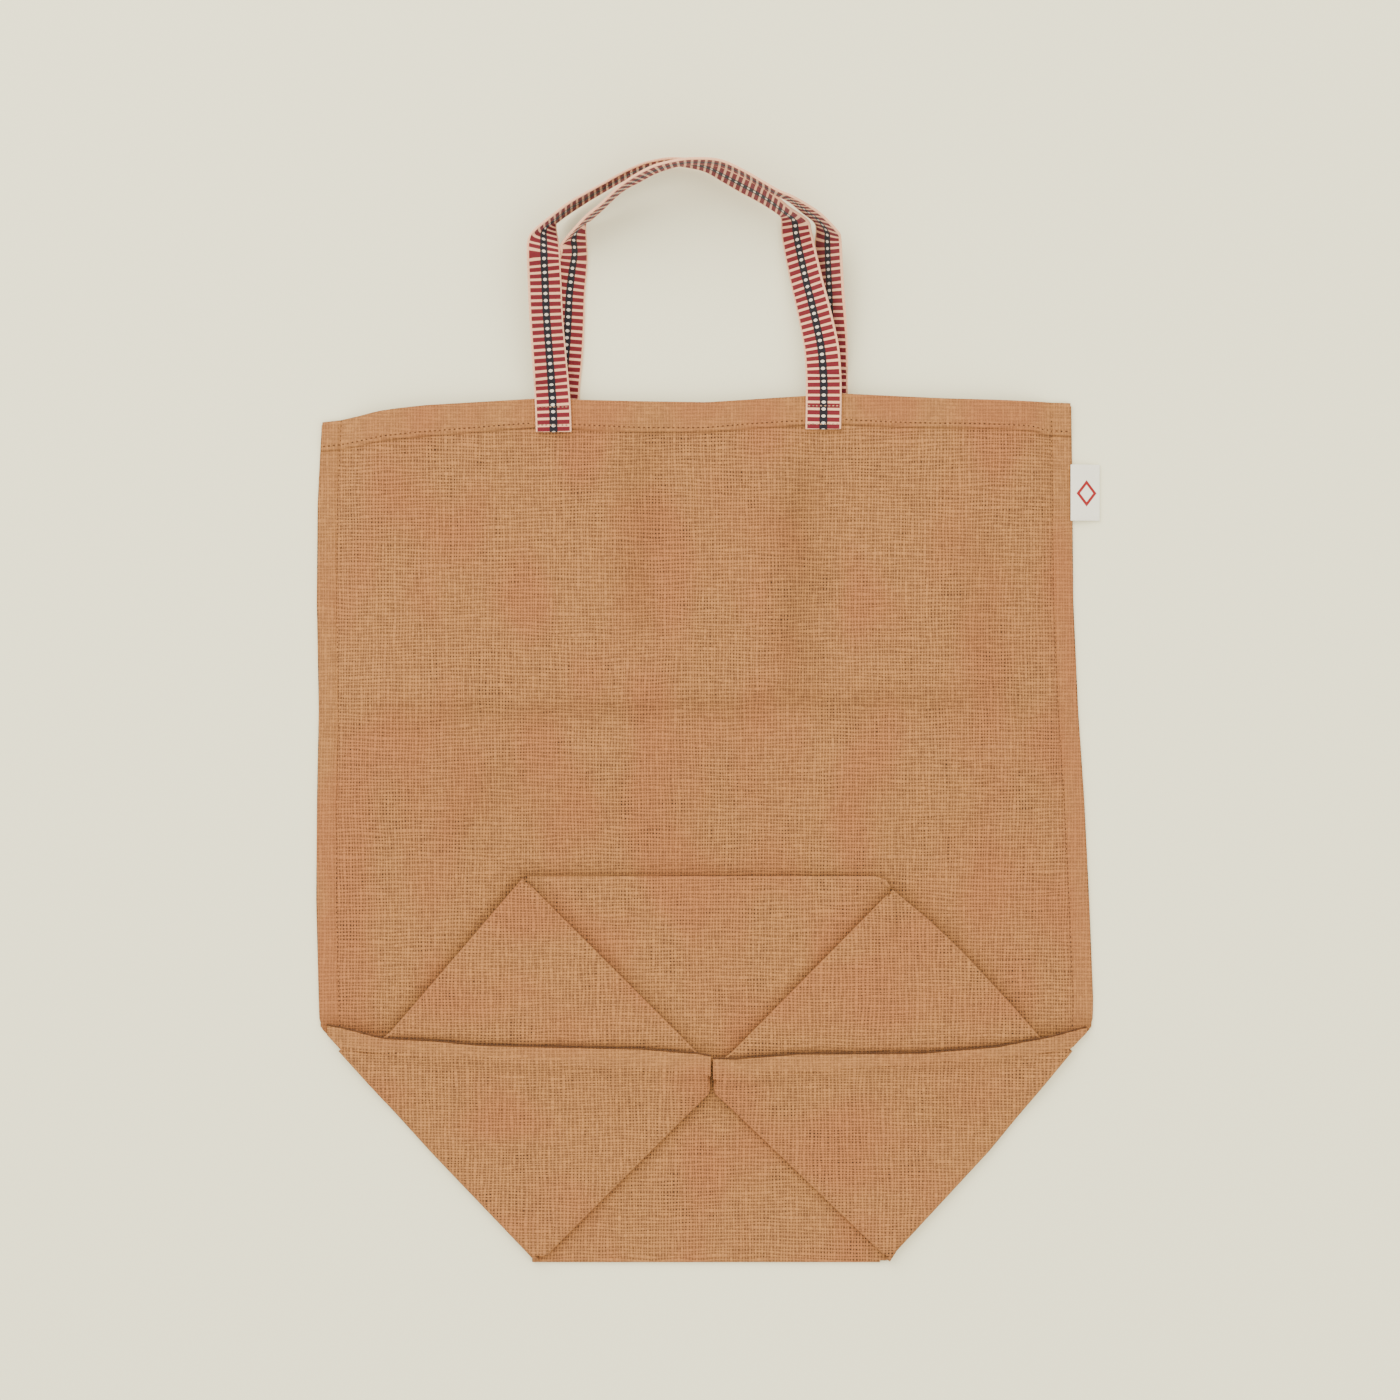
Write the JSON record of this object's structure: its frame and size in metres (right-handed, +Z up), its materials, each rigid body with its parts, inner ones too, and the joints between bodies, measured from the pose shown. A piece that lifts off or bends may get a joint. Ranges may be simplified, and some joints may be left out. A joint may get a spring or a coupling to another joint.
{
  "type": "jute produce bag, folded flat",
  "caption": "Jute produce bag with boxed base folded flat, side seam fins, hemmed mouth and webbing handles, lying on its back.",
  "frame": {"origin": "middle of the whole outline, on the surface that the bag lies on", "axes": "+Y from the folded base towards the mouth and the handles, +Z up out of the surface, +X towards the seam that holds the label"},
  "size_m": [0.4308, 0.6088, 0.0426],
  "materials": {
    "jute_cloth": "coarse plain weave, matte",
    "front_webbing": "woven stripes, matte",
    "back_webbing": "woven stripes, matte",
    "label_tape": "fine woven tape, matte"
  },
  "bodies": {
    "root": {"bag_body": "jute_cloth", "handle_front": "front_webbing", "handle_back": "back_webbing", "side_label": "label_tape"}
  },
  "joints": []
}
